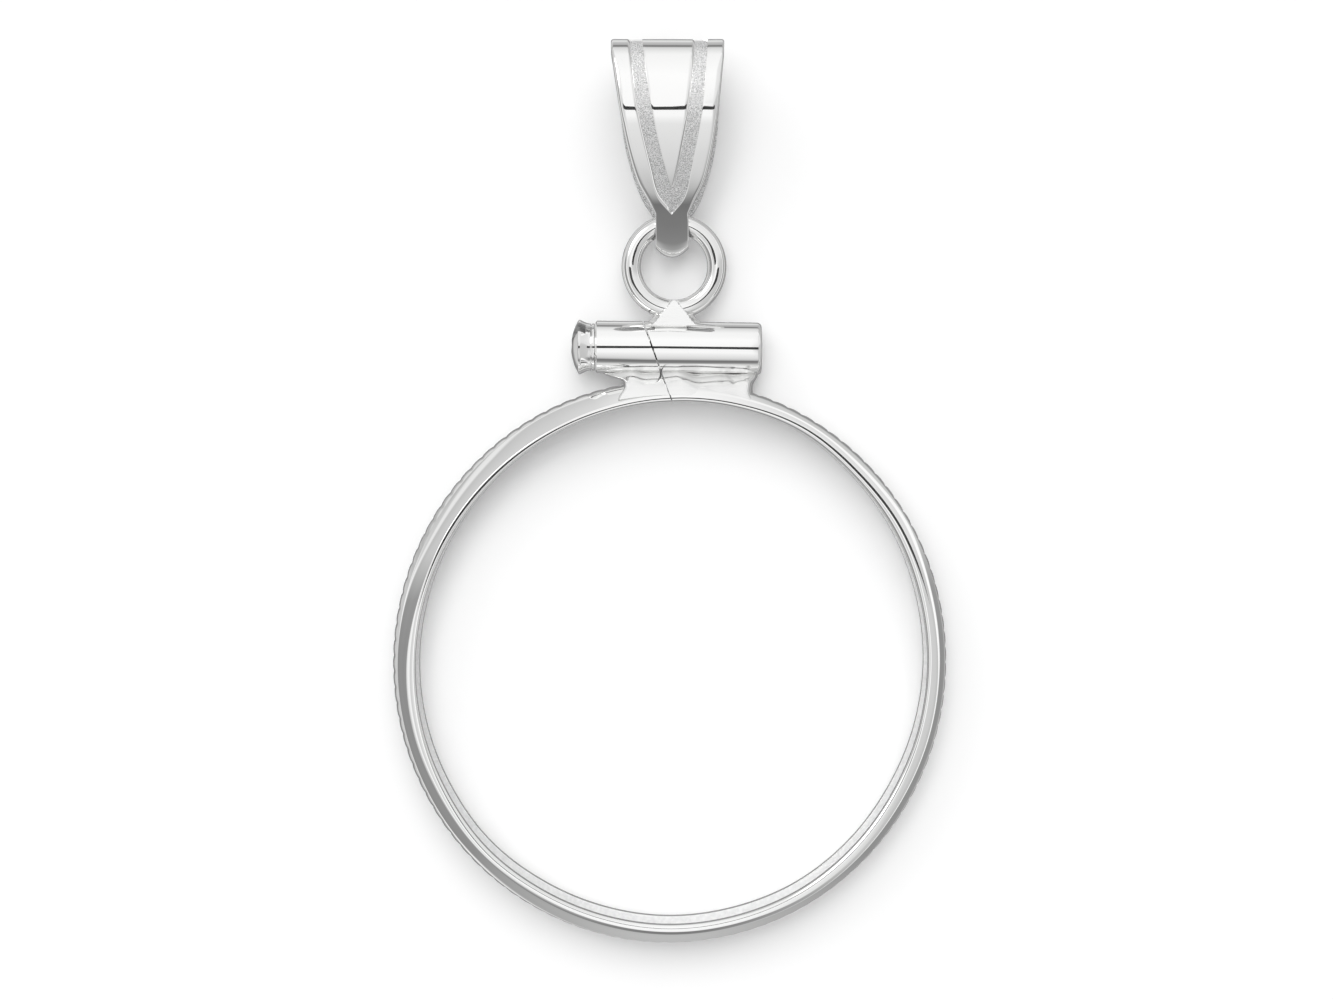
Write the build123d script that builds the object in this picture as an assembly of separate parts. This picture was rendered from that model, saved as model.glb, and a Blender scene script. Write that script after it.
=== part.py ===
from build123d import *
import math
import os

# A screw-top coin bezel lying on its back: a split channel ring, a split barrel soldered across
# the split, the clamp screw inside the barrel, a wire loop on top and a folded bail through the loop.
# Millimetres. +Z is the ring's axis and points out of the front face, +Y points to the bail,
# and the origin is the middle of the coin's seat.

# Coin that the ring is made for
coin_diameter = 16.5
coin_thickness = 1.2
coin_play = 0.05  # left round the coin's edge, and once through its thickness

# Ring, a channel whose front and rear halves are alike
lip_cover = 0.25  # how far each lip reaches over the coin's face
lip_thickness = 0.30
lip_roll = 0.17  # rounding of each lip's inner edge
crown_radius = 0.25  # rounding of the face, outside the roll
bevel_tilt = 36.0  # slope of the outer bevel, in degrees
rim_wall = 0.31  # behind the groove
bead_rise = 0.09  # how far the beads stand out of the rim
bead_notch = 0.075  # depth of the nick between two beads
bead_pitch = 0.49
bead_band = 0.90  # height of the beaded band

# Barrel, the split tube that the screw closes
barrel_diameter = 1.62
barrel_length = 5.1
barrel_shift = 0.28  # its middle lies this far to the right
barrel_gap = 0.205  # between the beads and the barrel's underside
barrel_round = 0.20  # rounding of the closed end
barrel_edge = 0.04  # bevel round the open end
barrel_end_wall = 0.80  # left between the blind bore and the closed end

# Solder web between the barrel and the ring
web_left = 1.67  # ends of the web, from the barrel's middle
web_right = 2.27
web_waist = 1.00  # thickness half way between barrel and ring
web_flare = 1.28  # thickness where it meets the barrel and the ring

# Saw cut through the ring, web and barrel
slit_width = 0.06
slit_lean = 19.4  # from the vertical, in degrees
slit_foot = 0.075  # where it leaves the ring's inner edge, to the right of the middle

# Clamp screw
shank_diameter = 0.90
shank_play = 0.03  # round the shank, in the barrel's bore
shank_tip_gap = 0.20  # between the shank's end and the bore's end
shank_chamfer = 0.10
head_diameter = 1.67
head_base_diameter = 1.44
head_length = 0.44  # from the base to the widest place
head_rim = 0.05
head_dome = 0.24
head_gap = 0.03  # between the head and the barrel
slot_width = 0.40
slot_depth = 0.46  # from the top of the dome
slot_turn = 48.0  # slot's direction, from straight up toward the bail

# Loop of round wire, soldered on the right half of the barrel
loop_radius = 1.318  # to the wire's middle
loop_wire = 0.60
loop_seat = 0.045  # between the loop's underside and the barrel
loop_shift = 0.14  # to the right of the ring's middle
foot_base = 1.51  # width of the solder foot on the barrel
foot_waist = 0.94  # width of the solder foot where it meets the wire
foot_thickness = 0.68
foot_bow = 0.06  # how far the foot's sides curve in

# Bail, one strip folded round the loop's wire
bail_reach = 5.655  # from the wire's middle to the top
bail_width = 3.41  # at the top
bail_depth = 3.26  # front to back, at the ridges
bail_strip = 0.40  # thickness
bail_neck = 0.93  # width of the strip where it is folded round the wire
bail_play = 0.035  # round the wire, at the neck's left edge
ridge_radius = 1.87
ridge_turn = 12.0  # the ridge's arc ends at this slope toward the top, in degrees
top_radius = 1.23
top_turn = 40.0  # the top's arc starts at this slope
leaf_radius = 11.5  # gentle curve of the leaves below the ridge
bail_shift = 0.08  # its neck lies this far to the right of the ring's middle
bail_skew = 0.14  # its top lies this much further to the left
strip_recess = 0.05  # depth of the two satin strips

# Front and rear leaf of the bail, seen from the front
# share of the reach above the wire, share of the top width
front_leaf_rows = [(1.00, 1.00), (0.62, 0.842), (0.42, 0.727), (0.26, 0.584), (0.16, 0.41)]
front_neck_height = 0.094
rear_leaf_rows = [(1.00, 1.00), (0.42, 0.845), (0.216, 0.695), (0.07, 0.504)]
rear_neck_height = -0.02

# Outer and inner edges of the satin strips, which meet in a V above the neck
# share of the reach above the wire, share of half the top width
strip_outer_rows = [(1.00, 0.704), (0.68, 0.580), (0.33, 0.352), (0.19, 0.235), (0.094, 0.0)]
strip_inner_rows = [(1.00, 0.455), (0.68, 0.320), (0.42, 0.150), (0.265, 0.0)]
strip_wrap = 0.10  # how far the strips run down the rear of the top bend, share of the depth

# Sizes that follow from those above
coin_radius = coin_diameter / 2
groove_radius = coin_radius + coin_play
groove_half = (coin_thickness + coin_play) / 2
lip_radius = coin_radius - lip_cover
ring_half = groove_half + lip_thickness
rim_radius = groove_radius + rim_wall
bead_radius = rim_radius + bead_rise
barrel_radius = barrel_diameter / 2
barrel_y = bead_radius + barrel_gap + barrel_radius
barrel_left = barrel_shift - barrel_length / 2
barrel_right = barrel_shift + barrel_length / 2
bore_radius = shank_diameter / 2 + shank_play
bore_depth = barrel_length - barrel_end_wall
wire_radius = loop_wire / 2
loop_y = barrel_y + barrel_radius + loop_seat + wire_radius + loop_radius
wire_y = loop_y + loop_radius  # the bail's hinge line, in the plane of the ring

# The neck's bend clears the wire, which curves away under the neck's edges
neck_edge = bail_neck / 2 + abs(loop_shift - bail_shift)
neck_sag = loop_radius - math.sqrt(loop_radius**2 - neck_edge**2)
neck_cross = wire_radius * loop_radius / math.sqrt(loop_radius**2 - neck_edge**2)
neck_inner = neck_sag + neck_cross + bail_play
neck_outer = neck_inner + bail_strip


def polar(radius, degrees):
    return Vector(radius * math.cos(math.radians(degrees)), radius * math.sin(math.radians(degrees)), 0)


def channel_section():
    """Half of the ring's cross-section and its mirror image, in the XZ plane."""
    tilt = math.radians(bevel_tilt)
    roll_x = lip_radius + lip_roll
    crown_z = ring_half - crown_radius
    crown_end = (roll_x + crown_radius * math.sin(tilt), crown_z + crown_radius * math.cos(tilt))
    crown_mid = (roll_x + crown_radius * math.sin(tilt / 2), crown_z + crown_radius * math.cos(tilt / 2))
    bevel_foot = (rim_radius, crown_end[1] - (rim_radius - crown_end[0]) * math.tan(tilt))
    roll_low = (lip_radius, ring_half - lip_roll)
    roll_mid = (roll_x - lip_roll * math.sqrt(0.5), ring_half - lip_roll + lip_roll * math.sqrt(0.5))
    roll_top = (roll_x, ring_half)

    def front(point):
        return Vector(point[0], 0, point[1])

    def rear(point):
        return Vector(point[0], 0, -point[1])

    lip_foot = (lip_radius, groove_half)
    groove = (groove_radius, groove_half)
    edges = [
        Line(front(groove), front(lip_foot)),
        Line(front(lip_foot), front(roll_low)),
        ThreePointArc(front(roll_low), front(roll_mid), front(roll_top)),
        ThreePointArc(front(roll_top), front(crown_mid), front(crown_end)),
        Line(front(crown_end), front(bevel_foot)),
        Line(front(bevel_foot), rear(bevel_foot)),
        Line(rear(bevel_foot), rear(crown_end)),
        ThreePointArc(rear(crown_end), rear(crown_mid), rear(roll_top)),
        ThreePointArc(rear(roll_top), rear(roll_mid), rear(roll_low)),
        Line(rear(roll_low), rear(lip_foot)),
        Line(rear(lip_foot), rear(groove)),
        Line(rear(groove), front(groove)),
    ]
    return make_face(edges)


def beaded_band():
    """Band of small beads round the rim, each an arc between two nicks."""
    count = max(12, round(2 * math.pi * bead_radius / bead_pitch))
    nick_radius = bead_radius - bead_notch
    step = 360 / count
    beads = []
    for i in range(count):
        start = i * step
        ends = polar(nick_radius, start), polar(nick_radius, start + step)
        beads.append(ThreePointArc(ends[0], polar(bead_radius, start + step / 2), ends[1]))
    outline = make_face(beads) - Circle((groove_radius + rim_radius) / 2)
    return extrude(outline, bead_band / 2, both=True)


def ring():
    return revolve(channel_section(), Axis.Z) + beaded_band()


def along_x(sketch, start, length):
    """Extrudes a sketch that is drawn in the YZ plane, from start to the right."""
    return Pos(start, 0, 0) * extrude(sketch, length, dir=(1, 0, 0))


def disc(radius, y):
    """Disc across the barrel's axis."""
    return Plane.YZ * Pos(y, 0, 0) * Circle(radius)


def barrel():
    """Split tube with a rounded closed end on the right."""
    tube = along_x(disc(barrel_radius, barrel_y), barrel_left, barrel_length)
    closed_end = tube.edges().filter_by(GeomType.CIRCLE).sort_by(Axis.X)[-1]
    tube = fillet(closed_end, barrel_round)
    open_end = tube.edges().filter_by(GeomType.CIRCLE).sort_by(Axis.X)[0]
    return chamfer(open_end, barrel_edge)


def screw_bore():
    return along_x(disc(bore_radius, barrel_y), barrel_left, bore_depth)


def web():
    """Solder that fills the gap between the barrel and the ring, thinner half way."""
    flare = web_flare / 2
    top = barrel_y - math.sqrt(barrel_radius**2 - flare**2)
    shoulder = rim_radius
    middle = (top + shoulder) / 2
    inside = barrel_y - (barrel_radius + bore_radius) / 2
    below = groove_radius * 0.9
    side = [(top, flare), (middle, web_waist / 2), (shoulder, flare)]

    def at(y, z):
        return Vector(0, y, z)

    edges = [
        Line(at(inside, flare / 2), at(*side[0])),
        ThreePointArc(at(*side[0]), at(*side[1]), at(*side[2])),
        Line(at(*side[2]), at(below, flare)),
        Line(at(below, flare), at(below, -flare)),
        Line(at(below, -flare), at(side[2][0], -flare)),
        ThreePointArc(at(side[2][0], -flare), at(side[1][0], -web_waist / 2), at(side[0][0], -flare)),
        Line(at(side[0][0], -flare), at(inside, -flare / 2)),
        Line(at(inside, -flare / 2), at(inside, flare / 2)),
    ]
    block = along_x(make_face(edges), barrel_shift - web_left, web_left + web_right)
    seat = Cylinder((groove_radius + rim_radius) / 2, 4 * ring_half)
    return block - seat


def loop():
    """Wire loop with its solder foot on the barrel."""
    wire = Pos(loop_shift, loop_y, 0) * Torus(loop_radius, wire_radius)
    waist = foot_waist / 2
    base = foot_base / 2
    low = barrel_y + (barrel_radius + bore_radius) / 2
    seat = barrel_y + barrel_radius
    high = loop_y - math.sqrt(loop_radius**2 - waist**2)
    side_mid = ((waist + base) / 2 - foot_bow, (seat + high) / 2)

    def at(x, y):
        return Vector(loop_shift + x, y, 0)

    edges = [
        Line(at(-base, low), at(base, low)),
        Line(at(base, low), at(base, seat)),
        ThreePointArc(at(base, seat), at(*side_mid), at(waist, high)),
        Line(at(waist, high), at(-waist, high)),
        ThreePointArc(at(-waist, high), at(-side_mid[0], side_mid[1]), at(-base, seat)),
        Line(at(-base, seat), at(-base, low)),
    ]
    foot = extrude(make_face(edges), foot_thickness / 2, both=True)
    return wire + foot


def slit():
    """Thin slab that parts the ring, web and barrel, from the lips to just above the barrel."""
    low = lip_radius - lip_cover
    high = barrel_y + barrel_radius + loop_seat
    lean = math.radians(slit_lean)
    length = (high - low) / math.cos(lean)
    middle_y = (low + high) / 2
    middle_x = slit_foot - (middle_y - lip_radius) * math.tan(lean)
    slab = Box(slit_width, length, 4 * ring_half)
    return Pos(middle_x, middle_y, 0) * Rot(0, 0, slit_lean) * slab


def bezel_frame():
    """Ring, web, barrel and loop, soldered into one piece and sawn through at the slit."""
    body = ring() + web() + barrel() + loop()
    return body - screw_bore() - slit()


def clamp_screw():
    """Slotted head and plain shank, drawn in the XY plane and turned round the barrel's axis."""
    base = barrel_left - head_gap
    widest = base - head_length
    rim = widest - head_rim
    tip = barrel_left + bore_depth - shank_tip_gap
    shank = shank_diameter / 2
    head = head_diameter / 2
    dome_radius = (head**2 + head_dome**2) / (2 * head_dome)
    half_turn = math.asin(head / dome_radius) / 2
    dome_mid = (
        rim - head_dome + dome_radius * (1 - math.cos(half_turn)),
        dome_radius * math.sin(half_turn),
    )

    def at(x, r):
        return Vector(x, barrel_y + r, 0)

    edges = [
        Line(at(tip, 0), at(tip, shank - shank_chamfer)),
        Line(at(tip, shank - shank_chamfer), at(tip - shank_chamfer, shank)),
        Line(at(tip - shank_chamfer, shank), at(base, shank)),
        Line(at(base, shank), at(base, head_base_diameter / 2)),
        Line(at(base, head_base_diameter / 2), at(widest, head)),
        Line(at(widest, head), at(rim, head)),
        ThreePointArc(at(rim, head), at(*dome_mid), at(rim - head_dome, 0)),
        Line(at(rim - head_dome, 0), at(tip, 0)),
    ]
    screw_axis = Axis((0, barrel_y, 0), (1, 0, 0))
    screw = revolve(make_face(edges), screw_axis)
    slot = Box(2 * slot_depth, slot_width, 2 * head_diameter)
    turned = Pos(rim - head_dome, barrel_y, 0) * Rot(-slot_turn, 0, 0) * slot
    return screw - turned


def side_view(inset):
    """Teardrop outline of the folded strip in the YZ plane, drawn in from the outer face by inset."""
    half = bail_depth / 2
    ridge_end, top_start = math.radians(ridge_turn), math.radians(top_turn)
    shoulder_radius = (
        half - ridge_radius * (1 - math.cos(ridge_end)) - top_radius * math.cos(top_start)
    ) / (math.cos(ridge_end) - math.cos(top_start))
    climb = (
        ridge_radius * math.sin(ridge_end)
        + shoulder_radius * (math.sin(top_start) - math.sin(ridge_end))
        + top_radius * (1 - math.sin(top_start))
    )
    ridge = Vector(0, bail_reach - climb, half - ridge_radius)
    top = Vector(0, bail_reach - top_radius, 0)
    toward = Vector(0, math.sin(ridge_end), math.cos(ridge_end))
    shoulder = ridge - toward * (shoulder_radius - ridge_radius)
    leaf = enclosing_centre(Vector(0, 0, 0), neck_outer, ridge, ridge_radius, leaf_radius)
    neck_end = math.atan2(-leaf.Y, -leaf.Z)
    leaf_end = math.atan2(ridge.Y - leaf.Y, ridge.Z - leaf.Z)
    chain = [
        (Vector(0, 0, 0), neck_outer, -math.pi / 2, neck_end),
        (leaf, leaf_radius, neck_end, leaf_end),
        (ridge, ridge_radius, leaf_end, ridge_end),
        (shoulder, shoulder_radius, ridge_end, top_start),
        (top, top_radius, top_start, math.pi / 2),
    ]
    edges = []
    for centre, radius, start, end in chain:
        places = [facing(centre, radius - inset, a) for a in (start, (start + end) / 2, end)]
        edges.append(ThreePointArc(*places))
        edges.append(ThreePointArc(*[Vector(0, p.Y, -p.Z) for p in places]))
    return make_face(edges)


def facing(centre, radius, angle):
    """Place on an arc where its surface leans by angle toward the bail's top."""
    return centre + Vector(0, math.sin(angle), math.cos(angle)) * radius


def enclosing_centre(first, first_radius, second, second_radius, radius):
    """Centre of a large arc that both given arcs run into smoothly, bulging to the front."""
    to_first, to_second = radius - first_radius, radius - second_radius
    apart = (second - first).length
    along = (to_first**2 - to_second**2 + apart**2) / (2 * apart)
    off = math.sqrt(to_first**2 - along**2)
    direction = (second - first).normalized()
    inward = Vector(0, direction.Z, -direction.Y)
    return first + direction * along + inward * off


def skewed(rows, side):
    """Places along one edge of the strip, from rows of height and half width, as shares."""
    return [Vector(side * bail_width / 2 * w - bail_skew * h, bail_reach * h, 0) for h, w in rows]


def leaf_outline(rows, neck_height):
    """Front view of one leaf: tapering sides, then the straight neck."""
    above = bail_reach * 1.2
    below = -2 * neck_outer
    right = skewed(rows, 1) + [Vector(bail_neck / 2, bail_reach * neck_height, 0)]
    left = skewed(rows, -1) + [Vector(-bail_neck / 2, bail_reach * neck_height, 0)]
    corners = [
        Vector(right[-1].X, below, 0),
        Vector(left[-1].X, below, 0),
    ]
    edges = [
        Line(Vector(left[0].X, above, 0), Vector(right[0].X, above, 0)),
        Line(Vector(right[0].X, above, 0), right[0]),
        Spline(*right),
        Line(right[-1], corners[0]),
        Line(corners[0], corners[1]),
        Line(corners[1], left[-1]),
        Spline(*left[::-1]),
        Line(left[0], Vector(left[0].X, above, 0)),
    ]
    return make_face(edges)


def strip_outline(side):
    """Front view of one satin strip, from the V's point up past the top."""
    above = bail_reach * 1.2
    outer, inner = skewed(strip_outer_rows, side), skewed(strip_inner_rows, side)
    edges = [
        Spline(*outer),
        Line(outer[-1], inner[-1]),
        Spline(*inner[::-1]),
        Line(inner[0], Vector(inner[0].X, above, 0)),
        Line(Vector(inner[0].X, above, 0), Vector(outer[0].X, above, 0)),
        Line(Vector(outer[0].X, above, 0), outer[0]),
    ]
    return make_face(edges)


def satin_strips():
    """Shallow V of two strips over the front leaf and the top bend, to be cut from the bail."""
    rear = bail_depth * strip_wrap
    both = [extrude(strip_outline(side), rear + bail_depth, dir=(0, 0, 1)) for side in (-1, 1)]
    core = extrude(side_view(strip_recess), bail_width, both=True, dir=(1, 0, 0))
    return Pos(0, 0, -rear) * (both[0] + both[1]) - core


def flat_bail():
    """Bail as if the ring stood on edge and the bail straight up, with the wire's middle at the origin."""
    profile = side_view(0) - side_view(bail_strip)
    strip = extrude(profile, bail_width, both=True, dir=(1, 0, 0))
    front = extrude(leaf_outline(front_leaf_rows, front_neck_height), bail_depth, dir=(0, 0, 1))
    rear = extrude(leaf_outline(rear_leaf_rows, rear_neck_height), bail_depth, dir=(0, 0, -1))
    return (strip & (front + rear)) - satin_strips()


def resting_tilt():
    """Turn about the wire that lays the bail's rear leaf on the plane under the ring."""
    outline = side_view(0)
    low, high = 0.0, 60.0
    for _ in range(30):
        tilt = (low + high) / 2
        if outline.rotate(Axis.X, tilt).bounding_box().min.Z < -ring_half:
            low = tilt
        else:
            high = tilt
    return high


def bail():
    return Pos(bail_shift, wire_y, 0) * Rot(resting_tilt(), 0, 0) * flat_bail()


pieces = {
    "bezel_frame": bezel_frame,
    "clamp_screw": clamp_screw,
    "bail": bail,
}

os.makedirs("parts", exist_ok=True)
for name, make in pieces.items():
    solid = make().solid()
    export_step(solid, f"parts/{name}.step")
    print(f"{name}: {solid.volume:.3f} mm3")

print(f"ring {2 * bead_radius:.2f} across, {2 * ring_half:.2f} thick, window {2 * lip_radius:.2f}")
print(f"barrel y {barrel_y:.3f}, loop y {loop_y:.3f}, wire y {wire_y:.3f}, tilt {resting_tilt():.2f}")
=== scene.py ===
import math

import bmesh
import bpy
from mathutils import Matrix, Vector, noise


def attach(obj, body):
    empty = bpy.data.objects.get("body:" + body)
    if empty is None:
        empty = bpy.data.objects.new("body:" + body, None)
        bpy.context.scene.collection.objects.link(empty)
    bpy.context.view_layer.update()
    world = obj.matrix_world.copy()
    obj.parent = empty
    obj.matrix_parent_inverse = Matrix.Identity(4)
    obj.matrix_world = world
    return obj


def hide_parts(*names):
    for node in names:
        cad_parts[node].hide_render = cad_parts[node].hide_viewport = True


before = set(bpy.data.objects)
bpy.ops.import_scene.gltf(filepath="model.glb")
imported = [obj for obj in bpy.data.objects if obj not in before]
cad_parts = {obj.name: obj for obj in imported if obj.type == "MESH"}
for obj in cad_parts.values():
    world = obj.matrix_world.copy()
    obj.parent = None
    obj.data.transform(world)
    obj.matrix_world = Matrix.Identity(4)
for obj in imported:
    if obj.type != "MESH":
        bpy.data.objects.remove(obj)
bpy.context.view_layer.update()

# Sizes below are millimetres, as in the part's source; the scene itself is in metres.
MM = 0.001

# Ring
GROOVE_RADIUS, GROOVE_HALF = 8.30, 0.625
LIP_RADIUS = 8.00
RING_HALF = 0.925
RIM_RADIUS, BEAD_RADIUS = 8.61, 8.70
BEADS, BEAD_NICK = 111, 0.04
POLISHED_OFF = 0.004  # off the beads, the loop's wire and the screw's shank
# The lip was filed by eye and isn't quite even. Every 15 degrees from +X round by +Y: radius of its
# inner edge, of its highest line and of the bevel's start, and the bevel's tilt at either edge.
LIP_TURNS = [
    (8.05, 8.16, 8.37, 34, 43), (8.05, 8.19, 8.33, 32, 43), (8.08, 8.26, 8.35, 31, 38),
    (8.11, 8.24, 8.33, 31, 42), (8.17, 8.31, 8.40, 31, 44), (8.10, 8.22, 8.32, 32, 46),
    (8.02, 8.13, 8.25, 33, 47), (7.95, 8.04, 8.14, 34, 46), (7.91, 7.985, 8.07, 36, 44),
    (7.88, 7.95, 8.04, 37, 48), (7.88, 7.96, 8.05, 36, 49), (7.90, 7.97, 8.08, 31, 44),
    (7.93, 7.98, 8.20, 29, 40), (7.95, 8.03, 8.25, 30, 40), (7.97, 8.08, 8.24, 32, 40),
    (8.02, 8.15, 8.26, 34, 41), (8.00, 8.11, 8.26, 34, 40), (8.01, 8.13, 8.29, 34, 38),
    (8.04, 8.17, 8.33, 34, 37), (8.05, 8.18, 8.35, 34, 37), (8.08, 8.20, 8.40, 34, 38),
    (8.06, 8.18, 8.39, 34, 40), (8.03, 8.15, 8.37, 34, 42), (8.04, 8.15, 8.38, 34, 43),
]
LIP_EDGE = 0.02  # rounding where the lip's inner edge meets the groove
# from the inner edge up to the highest line: a tight corner, a narrow facet, a round, each as its
# first and last tilt in degrees, its share of the way out and its steps
LIP_CLIMB = [(-90, -40, 0.12, 5), (-40, -30, 0.35, 4), (-30, 0, 0.53, 8)]
LAND_TILT, LAND_TILT_LEFT = 6, 14  # at the land's outer end, and how much more at the left
FACET_SHALLOW, FACET_STEEP = 25, 28  # tilts of the narrow facet between the land and the bevel
FACET_RUN, FACET_RUN_MORE = 0.042, 0.05  # its run, and how much more at the left and the bottom
BROW_ROUND, RIM_ROUND, RIM_TILT = 0.06, 0.03, 62
BEVEL_INSET = 0.012  # from the rim to the bevel's outer edge
SIDE_WEAR = 0.10  # the bevel's outer edge lies this much further in at the left
OVAL = 0.982  # the ring was sprung a little narrower than it is tall
OVAL_TURN = math.radians(-9)

# Saw cut
SLIT_FOOT, SLIT_WIDTH, SLIT_LEAN = 0.075, 0.04, math.radians(19.4)

# Barrel
BARREL_Y, BARREL_RADIUS = 9.715, 0.81
BARREL_LEFT, BARREL_RIGHT = -2.27, 2.83
BORE_RADIUS, BORE_END, BORE_POINT = 0.48, 2.03, 0.25
BARREL_EDGE, BARREL_ROUND, KERF_EDGE = 0.04, 0.14, 0.012
BARREL_SLOPE, BARREL_DROP = 0.012, 0.025  # it was soldered on a little low, most so at its right end
BARREL_UNEVEN = 0.005

# Solder between the ring and the barrel: where its front leaves the ring, how far below the barrel's
# middle it meets the barrel, how much it bows, and its lumps as (x, y, height)
SOLDER_START, SOLDER_FRONT, SOLDER_MEETS = 8.24, 0.912, 0.745
SOLDER_BOW = math.radians(12)
SOLDER_LUMPS = [(-1.30, 8.62, 0.03), (2.45, 8.56, 0.03), (0.36, 8.66, 0.015), (1.75, 8.72, 0.015)]

# Screw
SHANK_RADIUS, SHANK_TIP = 0.45, 1.83
HEAD_BASE, HEAD_WIDEST, HEAD_RIM, HEAD_TOP = -2.30, -2.74, -2.79, -3.03
HEAD_RADIUS, HEAD_BASE_RADIUS = 0.835, 0.72
SLOT_WIDTH, SLOT_DEPTH, SLOT_TURN = 0.40, 0.46, math.radians(48)
THREAD_PITCH, THREAD_DEPTH = 0.24, 0.055

# Loop
LOOP_X, LOOP_Y, LOOP_RADIUS, WIRE_RADIUS = 0.14, 12.188, 1.318, 0.30
FOOT_TOP, FOOT_BASE = 11.14, 10.40
# its foot, by height: half width, half width of the solder between its two arms, and half thickness
FOOT_WIDTHS = [
    (11.14, 0.20), (11.04, 0.40), (10.93, 0.50), (10.80, 0.56), (10.62, 0.67), (10.52, 0.78), (10.45, 0.92),
]
FILLET_WIDTHS = [(11.14, 0.06), (10.98, 0.20), (10.80, 0.36), (10.62, 0.52), (10.52, 0.66), (10.45, 0.80)]
FOOT_DEPTHS = [(11.14, 0.22), (10.98, 0.27), (10.80, 0.28), (10.62, 0.30), (10.52, 0.35), (10.45, 0.45)]

# Bail
WIRE_Y = 13.506
BAIL_X, BAIL_TILT = 0.08, math.radians(16.18)
BAIL_REACH, BAIL_HALF_WIDTH, BAIL_DEPTH, BAIL_STRIP = 5.654, 1.704, 3.2445, 0.40
BAIL_SKEW = 0.14
NECK_OUTER, NECK_FOLD, NECK_HALF_WIDTH, NECK_CORNER, NECK_LIFT = 0.871, 1.0, 0.50, 0.42, 0.30
LEAF_RADIUS, RIDGE_RADIUS, CREASE_RADIUS, TOP_RADIUS = 16.0, 1.87, 1.1, 1.23
RIDGE_TURN, CREASE_TURN, TOP_TURN = math.radians(7.5), math.radians(12.5), math.radians(40)
# half widths of the two leaves and of the satin strips, by height, as shares of the whole
NECK_TOP, STRIPS_MEET = 0.094, 0.235
FRONT_ROWS = [(1.00, 1.00), (0.62, 0.842), (0.42, 0.727), (0.26, 0.584), (0.16, 0.41), (NECK_TOP, 0.293)]
REAR_ROWS = [(1.00, 1.00), (0.42, 0.845), (0.216, 0.695), (0.07, 0.504), (-0.02, 0.293)]
STRIP_OUTER_ROWS = [(1.00, 0.704), (0.68, 0.580), (0.33, 0.352), (0.19, 0.235), (NECK_TOP, 0.0)]
STRIP_INNER_ROWS = [(1.00, 0.445), (0.68, 0.305), (0.42, 0.142), (STRIPS_MEET, 0.0)]
STRIP_RECESS, STRIP_WRAP = 0.06, 0.326
SOFT_WALL, STEEP_WALL = 0.06, 0.02  # runs of a satin strip's left and right side walls
EDGE, EDGE_DROP = 0.17, 0.14  # how far in, and how deep, the strip's edges are rounded over


# Mesh making

def skin(name, rows, around=True, along=False, zone=None, crease=32):
    """Mesh piece from rows of points: each row joins the next, and its own ends if around is set."""
    count = len(rows[0])
    points = [tuple(c * MM for c in point) for row in rows for point in row]
    faces, zones = [], []
    for i in range(len(rows) if along else len(rows) - 1):
        below, above = i * count, (i + 1) % len(rows) * count
        for j in range(count if around else count - 1):
            k = (j + 1) % count
            faces.append((below + j, below + k, above + k, above + j))
            zones.append(zone(i, j) if zone else 0)
    mesh = bpy.data.meshes.new(name)
    mesh.from_pydata(points, [], faces)
    mesh.polygons.foreach_set("material_index", zones)
    return finish_mesh(name, mesh, crease)


def finish_mesh(name, mesh, crease):
    """Welds a mesh, closes its ends, turns its faces outward and smooths all but the sharp edges."""
    weld = 0.0004 * MM
    work = bmesh.new()
    work.from_mesh(mesh)
    bmesh.ops.remove_doubles(work, verts=work.verts, dist=weld)
    bmesh.ops.dissolve_degenerate(work, dist=weld, edges=work.edges)
    open_edges = [edge for edge in work.edges if edge.is_boundary]
    if open_edges:
        bmesh.ops.holes_fill(work, edges=open_edges, sides=0)
    bmesh.ops.recalc_face_normals(work, faces=work.faces)
    work.to_mesh(mesh)
    work.free()
    mesh.shade_smooth()
    mesh.set_sharp_from_angle(angle=math.radians(crease))
    made = bpy.data.objects.new(name, mesh)
    bpy.context.scene.collection.objects.link(made)
    return made


def arc(centre, radius, start, end, steps):
    """Points on an arc in a section's plane, angles from its first axis."""
    angles = [start + (end - start) * i / steps for i in range(steps + 1)]
    return [(centre[0] + radius * math.cos(a), centre[1] + radius * math.sin(a)) for a in angles]


def spread(start, end, steps):
    """Evenly spaced values from start to end."""
    return [start + (end - start) * i / steps for i in range(steps + 1)]


def smooth(value, low, high):
    """0 below low, 1 above high, and an even turn between them."""
    t = min(max((value - low) / (high - low), 0), 1)
    return t * t * (3 - 2 * t)


def through(rows, height):
    """Value at a height on a smooth line through rows of (height, value), highest first."""
    rows = rows[::-1]
    if height <= rows[0][0]:
        return rows[0][1]
    for i in range(len(rows) - 1):
        (h0, v0), (h1, v1) = rows[i], rows[i + 1]
        if height <= h1:
            before = rows[i - 1] if i > 0 else (h0 - (h1 - h0), v0 - (v1 - v0))
            after = rows[i + 2] if i + 2 < len(rows) else (h1 + (h1 - h0), v1 + (v1 - v0))
            slope0 = (v1 - before[1]) / (h1 - before[0]) * (h1 - h0)
            slope1 = (after[1] - v0) / (after[0] - h0) * (h1 - h0)
            t = (height - h0) / (h1 - h0)
            return (
                v0 * (2 * t**3 - 3 * t**2 + 1)
                + slope0 * (t**3 - 2 * t**2 + t)
                + v1 * (3 * t**2 - 2 * t**3)
                + slope1 * (t**3 - t**2)
            )
    return rows[-1][1]


def slit_x(y, side):
    """Where a face of the saw cut stands at height y: side 1 is its right face, -1 its left face."""
    return SLIT_FOOT - (y - LIP_RADIUS) * math.tan(SLIT_LEAN) + side * SLIT_WIDTH / 2 / math.cos(SLIT_LEAN)


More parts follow.
